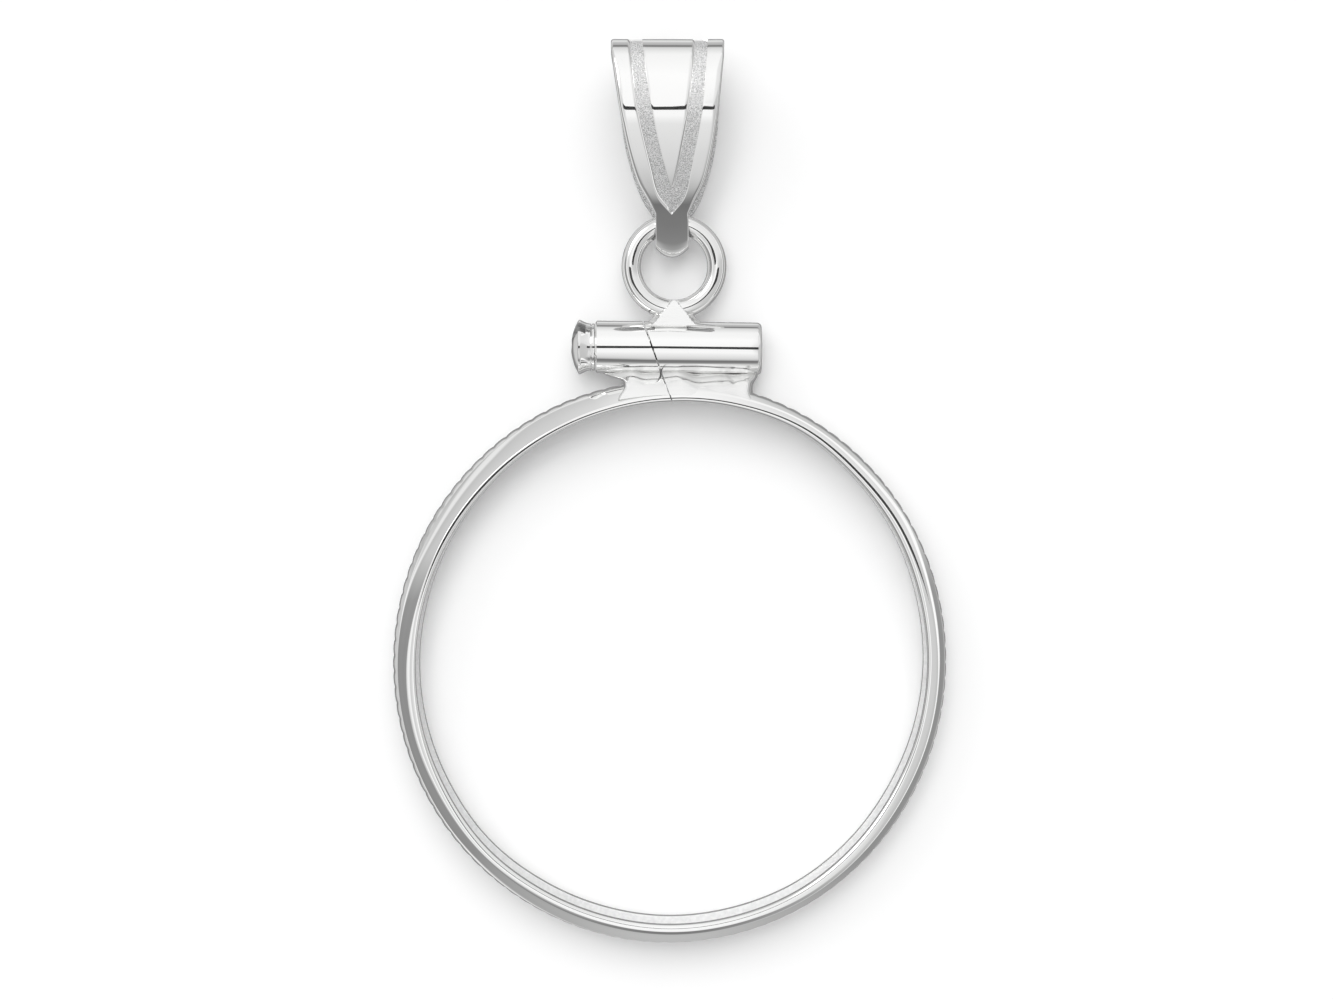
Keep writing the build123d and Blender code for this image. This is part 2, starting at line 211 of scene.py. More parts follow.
def sprung(x, y):
    """The ring's slight oval."""
    ux, uy = math.cos(OVAL_TURN), math.sin(OVAL_TURN)
    short = (x * ux + y * uy) * (OVAL - 1)
    return x + short * ux, y + short * uy


# Ring, swept from one face of the saw cut round to the other

def bend(points, radius, start, end, steps):
    """Continues a section with an arc whose surface tilts from start to end, in degrees from flat."""
    r, z = points[-1]
    first = math.radians(start)
    for tilt in spread(first, math.radians(end), steps)[1:]:
        points.append((
            r + radius * (math.sin(tilt) - math.sin(first)),
            z - radius * (math.cos(first) - math.cos(tilt)),
        ))


def outward(tilt):
    """How far out an arc of radius 1 comes while its surface tilts from flat to this many degrees."""
    return math.sin(math.radians(tilt))


def lip_turn(azimuth):
    """The lip's measures at one azimuth, on smooth lines through LIP_TURNS."""
    place = math.degrees(azimuth) / 15 % len(LIP_TURNS)
    i, t = int(place), place % 1
    near = (LIP_TURNS[(i + k) % len(LIP_TURNS)] for k in (-1, 0, 1, 2))
    return [
        b + 0.5 * t * (c - a + t * (2 * a - 5 * b + 4 * c - d + t * (3 * (b - c) + d - a)))
        for a, b, c, d in zip(*near)
    ]


def ring_section(azimuth, phase):
    """Half of the section at one azimuth, from the groove's wall over the lip to the beads' crest."""
    lip, top, brow, inner_tilt, outer_tilt = lip_turn(azimuth)
    leftward, downward = max(0.0, -math.cos(azimuth)), max(0.0, -math.sin(azimuth))
    points = [(GROOVE_RADIUS, 0.0), (GROOVE_RADIUS, GROOVE_HALF * 0.6), (GROOVE_RADIUS, GROOVE_HALF)]
    points += [((GROOVE_RADIUS + lip) / 2, GROOVE_HALF)]
    corner = (lip + LIP_EDGE, GROOVE_HALF + LIP_EDGE)
    points += arc(corner, LIP_EDGE, math.radians(-90), math.radians(-180), 3)
    inside = [(lip - top, 0.0)]
    for first, last, share, steps in LIP_CLIMB:
        bend(inside, (top - lip) * share / (outward(last) - outward(first)), first, last, steps)
    points += [(top + x, RING_HALF + z - inside[-1][1]) for x, z in inside]
    # the land on top, a quick turn at its end, and the narrow facet, which fades at the upper corners
    land = brow - top
    quick = 0.10 * land
    facet = min(FACET_RUN + FACET_RUN_MORE * max(leftward, downward), 0.5 * land)
    facet *= 1 - 1.8 * max(0.0, math.sin(azimuth)) * abs(math.cos(azimuth))
    steep, shallow = min(FACET_STEEP, inner_tilt - 1), min(FACET_SHALLOW, inner_tilt - 3)
    knee = min(LAND_TILT + LAND_TILT_LEFT * leftward**8, shallow - 2)
    bend(points, (land - facet - quick) / outward(knee), 0, knee, 6)
    bend(points, quick / (outward(shallow) - outward(knee)), knee, shallow, 3)
    bend(points, facet / (outward(steep) - outward(shallow)), shallow, steep, 2)
    bend(points, BROW_ROUND, steep, inner_tilt, 2)
    # the bevel, and a tight turn into the beads
    rim = RIM_RADIUS - BEVEL_INSET - SIDE_WEAR * leftward**2
    bevel = (rim - points[-1][0]) / (outward(outer_tilt) - outward(inner_tilt))
    bend(points, bevel, inner_tilt, outer_tilt, 9)
    bend(points, RIM_ROUND, outer_tilt, RIM_TILT, 3)
    foot, foot_height = points[-1]
    crest = bead_crest(phase)
    for share in spread(1, 0, 8)[1:]:
        points.append((foot + (crest - foot) * (1 - share * share), foot_height * share))
    return points


def bead_crest(phase):
    """Radius of the beads' crest, from the place along one bead, -1 to 1."""
    return BEAD_RADIUS - POLISHED_OFF - BEAD_NICK * (1 - max(0.0, 1 - abs(phase) ** 2.4) ** 0.6)


def slit_angle(radius, side):
    """Azimuth at which a face of the saw cut crosses a radius."""
    angle = math.pi / 2
    for _ in range(8):
        angle = math.acos(slit_x(radius * math.sin(angle), side) / radius)
    return angle


def make_ring():
    """Sections all the way round; near the saw cut they lean over until they lie in its faces."""
    middle = (LIP_RADIUS + RIM_RADIUS) / 2
    start, end = slit_angle(middle, 1), slit_angle(middle, -1) - 2 * math.pi
    steps = BEADS * 10
    near = math.radians(5)
    groove_faces = 5  # in each half of a section
    rows = []
    for i in range(steps + 1):
        azimuth = start + (end - start) * i / steps
        phase = (azimuth / (2 * math.pi) * BEADS) % 1 * 2 - 1
        half = ring_section(azimuth, phase)
        section = half + [(r, -z) for r, z in half[-2:0:-1]]
        first, last = 1 - smooth(start - azimuth, 0, near), 1 - smooth(azimuth - end, 0, near)
        row = []
        for radius, z in section:
            lean = (slit_angle(radius, 1) - start) * first if first else 0
            lean += (slit_angle(radius, -1) - 2 * math.pi - end) * last if last else 0
            x, y = radius * math.cos(azimuth + lean), radius * math.sin(azimuth + lean)
            row.append((*sprung(x, y), z))
        rows.append(row)
    count = len(rows[0])

    def zone(_, j):
        return 1 if j < groove_faces or j >= count - groove_faces else 0

    return skin("ring", rows, zone=zone)


# Barrel, two halves that meet at the saw cut

def barrel_middle(x):
    """Height of the barrel's outside middle at x."""
    return BARREL_Y - BARREL_DROP - BARREL_SLOPE * (x - (BARREL_LEFT + BARREL_RIGHT) / 2)


def barrel_point(x, radius, angle, side=0):
    """Point of the barrel; where side is given, x is measured from that face of the saw cut."""
    y = BARREL_Y + radius * math.sin(angle)
    if side:
        x += slit_x(y, side)
    # the bore stays straight and even
    outside = smooth(radius, 0.55, 0.75)
    if outside:
        y += (barrel_middle(x) - BARREL_Y) * outside
        uneven = noise.noise(Vector((1.1 * x, 2.0 * math.cos(angle), 2.0 * math.sin(angle))))
        radius -= BARREL_UNEVEN * (1 + uneven) * outside
        y -= BARREL_UNEVEN * (1 + uneven) * outside * math.sin(angle)
    return (x, y, radius * math.cos(angle))


def barrel_rows(side, stations):
    """Rows round the barrel from stations of (x, radius, whether x is from the saw cut)."""
    angles = [2 * math.pi * j / 120 for j in range(120)]
    return [[barrel_point(x, r, a, side if cut else 0) for a in angles] for x, r, cut in stations]


def between(rows, steps):
    """Adds evenly spaced rows between the first two given."""
    first, last = rows
    made = []
    for t in spread(0, 1, steps):
        made.append([tuple(a + (b - a) * t for a, b in zip(p, q)) for p, q in zip(first, last)])
    return made


def make_barrel_left():
    """The half that the screw goes in at, open at both ends."""
    rows = barrel_rows(-1, [(BARREL_LEFT, BARREL_RADIUS - BARREL_EDGE, False)])
    ends = [(BARREL_LEFT + BARREL_EDGE, BARREL_RADIUS, False), (-KERF_EDGE, BARREL_RADIUS, True)]
    rows += between(barrel_rows(-1, ends), 12)
    rows += barrel_rows(-1, [
        (0, BARREL_RADIUS - KERF_EDGE, True),
        (0, BORE_RADIUS, True),
        (BARREL_LEFT, BORE_RADIUS, False),
    ])
    return skin("barrel_left", rows, along=True)


def make_barrel_right():
    """The half with the blind end of the bore, rounded over at its closed end."""
    rows = barrel_rows(1, [
        (BORE_END + BORE_POINT, 0.0, False),
        (BORE_END, BORE_RADIUS, False),
        (0, BORE_RADIUS, True),
        (0, BARREL_RADIUS - KERF_EDGE, True),
    ])
    turn = BARREL_ROUND
    ends = [(KERF_EDGE, BARREL_RADIUS, True), (BARREL_RIGHT - turn, BARREL_RADIUS, False)]
    rows += between(barrel_rows(1, ends), 18)
    corner = arc((BARREL_RIGHT - turn, BARREL_RADIUS - turn), turn, math.pi / 2, 0.12, 8)[1:]
    rows += barrel_rows(1, [(x, r, False) for x, r in corner])
    rows += barrel_rows(1, [(BARREL_RIGHT - 0.012, 0.45, False), (BARREL_RIGHT - 0.008, 0.0, False)])
    return skin("barrel_right", rows)


# Solder, two halves that meet at the saw cut

def solder_section(x, steps=16):
    """Front of the solder from the ring's lip down to the barrel, which it doesn't quite wet, as (y, z)."""
    wander = 0.045 * noise.noise(Vector((1.3 * x, 5.3, 0.0))) - 0.03 * smooth(x, 0.2, 1.3)
    down = math.asin(min(0.97, (SOLDER_MEETS - wander) / BARREL_RADIUS))
    gap = 0.024 + 0.03 * noise.noise(Vector((2.2 * x, 1.9, 0.0)))
    end = (barrel_middle(x) - BARREL_RADIUS * math.sin(down), BARREL_RADIUS * math.cos(down))
    start = (math.sqrt(SOLDER_START**2 - x**2), SOLDER_FRONT)
    meet = (end[0] - max(gap, 0.004), end[1])
    chord = math.atan2(start[1] - meet[1], meet[0] - start[0])
    across = math.hypot(meet[0] - start[0], meet[1] - start[1])
    bow = across / (2 * math.sin(SOLDER_BOW))
    line = []
    for t in spread(-SOLDER_BOW, SOLDER_BOW, steps):
        along = bow * math.sin(t) + across / 2
        rise = bow * (math.cos(t) - math.cos(SOLDER_BOW))
        y = start[0] + along * math.cos(chord) + rise * math.sin(chord)
        z = start[1] - along * math.sin(chord) + rise * math.cos(chord)
        bumps = 0.004 * noise.noise(Vector((2.4 * x, 3.0 * y, 1.0)))
        rough = smooth(x, 1.3, 1.8) * smooth(y, 8.4, 8.75)
        bumps += 0.018 * rough * noise.noise(Vector((9.0 * x, 16.0 * y, 7.0)))
        for lump_x, lump_y, height in SOLDER_LUMPS:
            bumps += height * math.exp(-((x - lump_x) ** 2 + (y - lump_y) ** 2) / 0.006)
        line.append((y, z + bumps * smooth(t, -SOLDER_BOW, 0)))
    # the narrow gap left beside the barrel
    gap_y, gap_z = meet[0] + 0.012, meet[1] - 0.2
    return [*line, (gap_y, meet[1] - 0.05), (gap_y, gap_z), (end[0] + 0.05, gap_z)]


def make_solder(name, side, end_ring, end_waist, end_barrel):
    """Half of the solder: its outer end, at x given for the ring, the waist and the barrel, curves in."""
    steps = 60
    count = len(solder_section(0.0))
    rows = []
    for u in spread(0, 1, steps):
        front = []
        for index in range(count):
            v = min(index / (count - 4), 1)
            outer = end_waist + (end_ring - end_waist) * (1 - smooth(v, 0, 0.5)) ** 1.5
            outer += (end_barrel - end_waist) * smooth(v, 0.55, 1.0) ** 1.5
            guess = outer + (slit_x(8.8, side) - outer) * u
            y, z = solder_section(guess)[index]
            x = outer + (slit_x(y, side) - outer) * u
            closing = math.sqrt(max(0.0, 1 - (1 - min(u / 0.08, 1)) ** 2))
            front.append((x, y, z * closing))
        rear = [(x, y, -z) for x, y, z in front[::-1]]
        # hidden ends: one inside the barrel's wall, one inside the ring's
        (low_x, low_y, low_z), (high_x, high_y, high_z) = front[0], front[-1]
        barrel_end = [(high_x, high_y + 0.12, high_z * k) for k in (0.6, -0.6)]
        ring_end = [(low_x, low_y + 0.17, low_z * k) for k in (-0.7, 0.7)]
        rows.append([*front, *barrel_end, *rear, *ring_end])
    return skin(name, rows)


# Wire loop and its foot

def make_loop():
    """Ring of round wire, bent and rubbed down by hand, so it isn't quite even."""
    section = arc((0, 0), WIRE_RADIUS - POLISHED_OFF, 0, 2 * math.pi, 56)[:-1]
    steps = 220
    rows = []
    for i in range(steps):
        a = 2 * math.pi * i / steps
        row = []
        for out, up in section:
            uneven = 1 + 0.014 * noise.noise(Vector((1.7 * math.cos(a), 1.7 * math.sin(a), 3.0 * up)))
            r = LOOP_RADIUS + out * uneven
            row.append((LOOP_X + r * math.cos(a), LOOP_Y + r * math.sin(a), min(up * uneven, WIRE_RADIUS)))
        rows.append(row)
    return skin("loop", rows, along=True)


def make_foot():
    """Foot of the loop: two round arms with a flatter wedge of solder that fills the gap between them."""
    rows = []
    for y in spread(FOOT_TOP, FOOT_BASE, 34):
        half, wedge, deep = (through(table, y) for table in (FOOT_WIDTHS, FILLET_WIDTHS, FOOT_DEPTHS))
        wedge_height = WIRE_RADIUS + 0.012 + 0.17 * (FOOT_TOP - y)
        front = []
        for t in spread(-1, 1, 40):
            x = half * math.sin(t * math.pi / 2)
            arm = deep * max(0.0, 1 - abs(x / half) ** 2.4) ** 0.5
            filled = wedge_height * smooth(wedge + 0.05 - abs(x), 0, 0.06)
            front.append((x, max(arm, filled) if abs(x) < half else 0.0))
        row = []
        for x, z in front + [(x, -z) for x, z in front[-2:0:-1]]:
            drop = BARREL_RADIUS - math.sqrt(BARREL_RADIUS**2 - z * z)
            settle = 1 - smooth(y, 10.45, 10.8)
            row.append((LOOP_X + x, y - drop * settle, z))
        rows.append(row)
    return skin("loop_foot", rows)


# Clamp screw

SCREW_ANGLES = [2 * math.pi * j / 96 for j in range(96)]


def screw_row(x, radii):
    """Points round the screw's axis at x, one for each of SCREW_ANGLES."""
    return [(x, BARREL_Y + r * math.sin(a), r * math.cos(a)) for a, r in zip(SCREW_ANGLES, radii)]


def head_profile():
    """Turned outline of the head, as (x, radius): dome, rim, hollow neck and a thin collar."""
    rise = HEAD_RIM - HEAD_TOP
    dome = (HEAD_RADIUS**2 + rise**2) / (2 * rise)
    profile = [(HEAD_TOP, 0.0)]
    for a in spread(0, math.asin(HEAD_RADIUS / dome), 14)[1:-1]:
        profile.append((HEAD_TOP + dome * (1 - math.cos(a)), dome * math.sin(a)))
    profile += [(HEAD_RIM - 0.012, HEAD_RADIUS - 0.012), (HEAD_RIM + 0.006, HEAD_RADIUS - 0.001)]
    neck_x, neck_radius = HEAD_WIDEST + 0.03, HEAD_RADIUS - 0.018
    profile += [(HEAD_WIDEST, HEAD_RADIUS - 0.002), (neck_x, neck_radius)]
    for t in spread(0, 1, 8)[1:]:
        x = neck_x + (HEAD_BASE - 0.13 - HEAD_WIDEST - 0.03) * t
        narrowed = (HEAD_RADIUS - HEAD_BASE_RADIUS - 0.02) * math.sin(t * math.pi / 2)
        profile.append((x, neck_radius - narrowed))
    collar = [(-0.10, -0.045), (-0.085, -0.008), (-0.07, 0.0), (-0.015, 0.0), (0.0, -0.015)]
    profile += [(HEAD_BASE + x, HEAD_BASE_RADIUS + r) for x, r in collar]
    return profile + [(HEAD_BASE, 0.40), (HEAD_BASE + 0.02, 0.40), (HEAD_BASE + 0.02, 0.0)]


def slot_cutter():
    """Block of the slot's width, turned as the slot is and centred on the dome's top."""
    block = bmesh.new()
    bmesh.ops.create_cube(block, size=1)
    size = Vector((2 * SLOT_DEPTH, SLOT_WIDTH, 4 * HEAD_RADIUS)) * MM
    place = Matrix.Translation(Vector((HEAD_TOP, BARREL_Y, 0)) * MM)
    place = place @ Matrix.Rotation(-SLOT_TURN, 4, "X") @ Matrix.Diagonal((*size, 1))
    bmesh.ops.transform(block, matrix=place, verts=block.verts)
    mesh = bpy.data.meshes.new("slot_cutter")
    block.to_mesh(mesh)
    block.free()
    cutter = bpy.data.objects.new("slot_cutter", mesh)
    bpy.context.scene.collection.objects.link(cutter)
    return cutter


def make_screw_head():
    """Domed head turned from the bar, with its slot cut across."""
    rows = [screw_row(x, [r] * len(SCREW_ANGLES)) for x, r in head_profile()]
    head = skin("screw_head", rows, crease=40)
    cutter = slot_cutter()
    cut = head.modifiers.new("slot", "BOOLEAN")
    cut.operation, cut.solver, cut.object = "DIFFERENCE", "EXACT", cutter
    soften = head.modifiers.new("edges", "BEVEL")
    soften.width, soften.segments, soften.limit_method = 0.014 * MM, 2, "ANGLE"
    soften.angle_limit = math.radians(45)
    apply_modifiers(head)
    bpy.data.objects.remove(cutter)
    # the slot's walls and floor keep the saw's dull finish, in a dark tone that is painted shade in the
    # slot
    across = Vector((0, math.cos(SLOT_TURN), -math.sin(SLOT_TURN)))
    for face in head.data.polygons:
        place = face.center - Vector((0, BARREL_Y * MM, 0))
        inside = abs(place.dot(across)) < (SLOT_WIDTH / 2 + 0.002) * MM
        wall = abs(face.normal.dot(across)) > 0.9
        floor = face.normal.x < -0.9 and place.x > (HEAD_TOP + 0.3) * MM
        if inside and (wall or floor):
            face.material_index = 1
    return head


def make_screw_shank():
    """Threaded shank; the thread starts below the head and runs out at the tip."""
    rows = [screw_row(HEAD_BASE, [0.36] * len(SCREW_ANGLES))]
    for x in spread(HEAD_BASE + 0.01, SHANK_TIP, 260):
        cutting = THREAD_DEPTH * smooth(x, HEAD_BASE + 0.25, HEAD_BASE + 0.6)
        solid = SHANK_RADIUS - POLISHED_OFF - 0.10 * smooth(x, SHANK_TIP - 0.14, SHANK_TIP)
        radii = []
        for a in SCREW_ANGLES:
            flank = abs((x / THREAD_PITCH + a / (2 * math.pi)) % 1 * 2 - 1)
            radii.append(solid - cutting * smooth(flank, 0.1, 0.9))
        rows.append(screw_row(x, radii))
    return skin("screw_shank", rows)


def apply_modifiers(piece):
    """Keeps a piece's evaluated mesh and drops its modifiers."""
    graph = bpy.context.evaluated_depsgraph_get()
    mesh = bpy.data.meshes.new_from_object(piece.evaluated_get(graph))
    piece.modifiers.clear()
    piece.data = mesh
    mesh.shade_smooth()
    mesh.set_sharp_from_angle(angle=math.radians(32))


# Bail, swept round its side outline

def enclosing(first, first_radius, second, second_radius, radius):
    """Centre of the large arc that two arcs run into, as (y, z)."""
    to_first, to_second = radius - first_radius, radius - second_radius
    apart = (second - first).length
    along = (to_first**2 - to_second**2 + apart**2) / (2 * apart)
    off = math.sqrt(to_first**2 - along**2)
    direction = (second - first).normalized()
    return first + direction * along + Vector((direction.y, -direction.x)) * off


def bail_side():
    """Side outline of the folded strip, as (centre, radius, start, end) arcs from neck to top."""
    half = BAIL_DEPTH / 2
    ridge_cos, crease_cos, top_cos = (math.cos(a) for a in (RIDGE_TURN, CREASE_TURN, TOP_TURN))
    ridge_sin, crease_sin, top_sin = (math.sin(a) for a in (RIDGE_TURN, CREASE_TURN, TOP_TURN))
    left = half - RIDGE_RADIUS * (1 - ridge_cos) - CREASE_RADIUS * (ridge_cos - crease_cos)
    shoulder_radius = (left - TOP_RADIUS * top_cos) / (crease_cos - top_cos)
    climb = RIDGE_RADIUS * ridge_sin + CREASE_RADIUS * (crease_sin - ridge_sin)
    climb += shoulder_radius * (top_sin - crease_sin) + TOP_RADIUS * (1 - top_sin)
    ridge = Vector((BAIL_REACH - climb, half - RIDGE_RADIUS))
    crease = ridge + Vector((ridge_sin, ridge_cos)) * (RIDGE_RADIUS - CREASE_RADIUS)
    shoulder = crease - Vector((crease_sin, crease_cos)) * (shoulder_radius - CREASE_RADIUS)
    top = Vector((BAIL_REACH - TOP_RADIUS, 0))
    neck = Vector((0, 0))
    leaf = enclosing(neck, NECK_OUTER, ridge, RIDGE_RADIUS, LEAF_RADIUS)
    leaf_end = math.atan2(ridge.x - leaf.x, ridge.y - leaf.y)
    # the leaf runs straight on past the wire and turns under it in a tight corner
    corner_end = math.asin((NECK_CORNER - NECK_FOLD - leaf.x) / (LEAF_RADIUS - NECK_CORNER))
    corner = leaf + Vector((math.sin(corner_end), math.cos(corner_end))) * (LEAF_RADIUS - NECK_CORNER)
    return [
        (corner, NECK_CORNER, -math.pi / 2, corner_end, 16),
        (leaf, LEAF_RADIUS, corner_end, leaf_end, 72),
        (ridge, RIDGE_RADIUS, leaf_end, RIDGE_TURN, 20),
        (crease, CREASE_RADIUS, RIDGE_TURN, CREASE_TURN, 8),
        (shoulder, shoulder_radius, CREASE_TURN, TOP_TURN, 26),
        (top, TOP_RADIUS, TOP_TURN, math.pi / 2, 22),
    ]


def bail_stations():
    """Places round the side outline: (y, z, outward y, outward z), up the front and down the rear."""
    low = bail_side()[0][0].y
    front = [(-NECK_FOLD, low * share, -1.0, 0.0) for share in (0.0, 0.33, 0.66)]
    for centre, radius, start, end, steps in bail_side():
        for a in spread(start, end, steps)[:-1]:
            ny, nz = math.sin(a), math.cos(a)
            front.append((centre.x + radius * ny, centre.y + radius * nz, ny, nz))
    top = (BAIL_REACH, 0.0, 1.0, 0.0)
    rear = [(y, -z, ny, -nz) for y, z, ny, nz in front[:0:-1]]
    return [*front, top, *rear]


def strip_edges(height, front):
    """How far the satin strips' inner and outer edges lie from the middle."""
    scale = BAIL_HALF_WIDTH
    if front:
        outer, inner = through(STRIP_OUTER_ROWS, height), through(STRIP_INNER_ROWS, height)
        outer = 0.0 if height < NECK_TOP else max(outer, 0.0)
        inner = 0.0 if height < STRIPS_MEET else max(inner, 0.0)
        return inner * scale, outer * scale
    # the rear is plain: only its rows of points run on from the strips' edges
    share = 0.9 * smooth(height, -0.15, 0.5)
    return 0.455 * scale * share, 0.704 * scale * share


def bail_columns(half, inner, outer, inner_wall, outer_wall):
    """Places from the strip's edge to its middle, each as (x, share of the recess, satin or not)."""
    inner = min(inner, outer)
    merged = inner < 0.015
    fit = min(1.0, (outer - inner) / 0.16)
    columns = [(x, 0.0, 0) for x in spread(half, outer + 0.01, 12)]
    columns += [(outer, 0.05, 0)]
    columns += [(x, 1.0, 1) for x in spread(outer - outer_wall * fit, inner + inner_wall * fit, 7)]
    columns += [(inner, 1.0, 1)] if merged else [(inner, 0.05, 0)]
    rest = (1.0, 1) if merged else (0.0, 0)
    columns += [(x, *rest) for x in spread(max(inner - 0.01, 0), 0, 9)]
    return columns


def bail_section(half, inner, outer, inner_wall, outer_wall, recess, edge):
    """Half of the strip's section from its middle to its edge and back inside: (x, depth, satin)."""
    reach = EDGE * edge
    columns = bail_columns(half - reach, inner, min(outer, half - reach - 0.02), inner_wall, outer_wall)
    face = [(x, share * recess, flag) for x, share, flag in columns[::-1]]
    for a in spread(0, math.pi / 2, 9)[1:]:
        face.append((half - reach + reach * math.sin(a), EDGE_DROP * edge * (1 - math.cos(a)), 0))
    face += [(half, 0.2, 0), (half, 0.28, 0), (half, BAIL_STRIP - 0.03, 1)]
    face += [(half - 0.03, BAIL_STRIP, 1)]
    face += [(half * k, BAIL_STRIP, 1) for k in (0.75, 0.5, 0.25, 0.0)]
    return face


def make_bail():
    """The folded strip, in rows round its side outline, each row once round its section."""
    turn = Matrix.Rotation(BAIL_TILT, 3, "X")
    rows, flags = [], []
    for y, z, ny, nz in bail_stations():
        height = y / BAIL_REACH
        half = BAIL_HALF_WIDTH * through(FRONT_ROWS if z >= 0 else REAR_ROWS, height)
        half = max(half, NECK_HALF_WIDTH)
        striped = z >= -STRIP_WRAP and height > NECK_TOP
        inner, outer = strip_edges(height, z >= -STRIP_WRAP)
        recess = STRIP_RECESS if striped else 0.0
        edge = (0.2 + 0.8 * smooth(height, 0.05, 0.24)) * (1 - 0.6 * smooth(height, 0.86, 0.97))
        right = bail_section(half, inner, outer, SOFT_WALL, STEEP_WALL, recess, edge)
        left = bail_section(half, inner, outer, STEEP_WALL, SOFT_WALL, recess, edge)
        middle = -BAIL_SKEW * height * smooth(height, 0.0, 0.12)
        section = right + [(-x, depth, flag) for x, depth, flag in left[-2:0:-1]]
        row = []
        for x, depth, _ in section:
            outside = 1 - depth / BAIL_STRIP
            # at the neck the strip is worn round under the wire, and all over it is a little uneven
            lift = NECK_LIFT * (x / half) ** 2 * (1 - smooth(y, -NECK_FOLD, 0.0)) * outside
            slide = 0.33 * lift * min(max(z / 0.3, -1), 1)
            depth += 0.006 * (1 + noise.noise(Vector((1.1 * x, 1.3 * y, 2.0 + z)))) * outside
            placed = turn @ Vector((x + middle, y + lift - ny * depth, z + slide - nz * depth))
            row.append((placed.x + BAIL_X, placed.y + WIRE_Y, placed.z))
        rows.append(row)
        # past the satin strips, only the inner face keeps its matte finish
        flags.append([flag if striped or depth >= BAIL_STRIP - 0.04 else 0 for _, depth, flag in section])

    def zone(i, j):
        k, l = (j + 1) % len(flags[0]), (i + 1) % len(flags)
        return 1 if flags[i][j] and flags[i][k] and flags[l][j] and flags[l][k] else 0

    return skin("bail_strip", rows, along=True, zone=zone)


# Shader nodes

def node(tree, kind, inputs=None, **settings):
    """Adds a node; each input is a value, or the socket that feeds it."""
    made = tree.nodes.new(kind)
    for key, value in settings.items():
        setattr(made, key, value)
    for key, value in (inputs or {}).items():
        if isinstance(value, bpy.types.NodeSocket):
            tree.links.new(value, made.inputs[key])
        else:
            made.inputs[key].default_value = value
    return made


def calc(tree, operation, *values):
    return node(tree, "ShaderNodeMath", dict(enumerate(values)), operation=operation).outputs[0]


def mix(tree, factor, first, second):
    between_two = {"Factor": factor, "A": first, "B": second}
    return node(tree, "ShaderNodeMix", between_two, data_type="FLOAT").outputs[0]


def map_range(tree, value, low, high, to_low=0.0, to_high=1.0, **settings):
    limits = {"Value": value, "From Min": low, "From Max": high, "To Min": to_low, "To Max": to_high}
    return node(tree, "ShaderNodeMapRange", limits, **settings).outputs[0]


def ramp(tree, value, stops):
    """Grey ramp through given (place, brightness) stops."""
    made = node(tree, "ShaderNodeValToRGB", {0: value})
    elements = made.color_ramp.elements
    while len(elements) > 1:
        elements.remove(elements[-1])
    elements[0].position, elements[0].color = stops[0][0], (*[stops[0][1]] * 3, 1)
    for place, level in stops[1:]:
        elements.new(place).color = (level, level, level, 1)
    return made.outputs["Color"]


def grey(tree, value):
    return node(tree, "ShaderNodeCombineColor", {0: value, 1: value, 2: value}).outputs[0]


def object_place(tree):
    """The place on the object, in metres."""
    return node(tree, "ShaderNodeTexCoord").outputs["Object"]


def speckle(tree, place, scale, detail, roughness):
    inputs = {"Vector": place, "Scale": scale, "Detail": detail, "Roughness": roughness}
    return node(tree, "ShaderNodeTexNoise", inputs).outputs[0]


def group(name, inputs, outputs):
    """New node group with the values of its inputs and the kinds of its outputs, and their sockets."""
    made = bpy.data.node_groups.new(name, "ShaderNodeTree")
    for label, value in inputs.items():
        socket = made.interface.new_socket(label, in_out="INPUT", socket_type="NodeSocketFloat")
        socket.default_value = value
    for label, kind in outputs.items():
        made.interface.new_socket(label, in_out="OUTPUT", socket_type=kind)
    return made, made.nodes.new("NodeGroupInput").outputs, made.nodes.new("NodeGroupOutput").inputs


# Effects that several finishes share

def hand_polish():
    """Soft waves and fine wheel scratches that hand polishing leaves on metal."""
    tree, given, result = group(
        "hand polish",
        {"Wave Height": 0.001, "Scratch Height": 0.00002},
        {"Height": "NodeSocketFloat", "Haze": "NodeSocketFloat"},
    )
    place = object_place(tree)
    stretch = {"Vector": place, "Rotation": (0.4, 0.3, 0.9), "Scale": (1.0, 14.0, 14.0)}
    brushed = node(tree, "ShaderNodeMapping", stretch).outputs[0]
    wave = speckle(tree, place, 620.0, 1.0, 0.4)
    scratch = speckle(tree, brushed, 1400.0, 2.0, 0.6)
    waves = calc(tree, "MULTIPLY", wave, given["Wave Height"])
    scratches = calc(tree, "MULTIPLY", scratch, given["Scratch Height"])
    tree.links.new(calc(tree, "ADD", waves, scratches), result["Height"])
    tree.links.new(map_range(tree, scratch, 0.35, 0.75), result["Haze"])
    return tree


def bare_grain():
    """Fine grain of metal that isn't polished: a grey between two tones, and a height."""
    tree, given, result = group(
        "bare grain",
        {
            "Scale": 9000.0, "Detail": 2.0, "Roughness": 0.5, "Sparse": 0.3, "Dense": 0.7,
            "Dark": 0.8, "Light": 0.9, "Depth": 0.000006,
        },
        {"Tone": "NodeSocketColor", "Height": "NodeSocketFloat"},
    )
    grain = speckle(tree, object_place(tree), given["Scale"], given["Detail"], given["Roughness"])
    shade = map_range(tree, grain, given["Sparse"], given["Dense"], given["Dark"], given["Light"])
    tree.links.new(grey(tree, shade), result["Tone"])
    tree.links.new(calc(tree, "MULTIPLY", grain, given["Depth"]), result["Height"])
    return tree


POLISH, GRAIN = hand_polish(), bare_grain()


# Materials

def finish(name, metallic=0.0):
    """New material, with its node tree and its shader's inputs."""
    material = bpy.data.materials.new(name)
    material.use_nodes = True
    shader = material.node_tree.nodes["Principled BSDF"].inputs
    shader["Metallic"].default_value = metallic
    return material, material.node_tree, shader


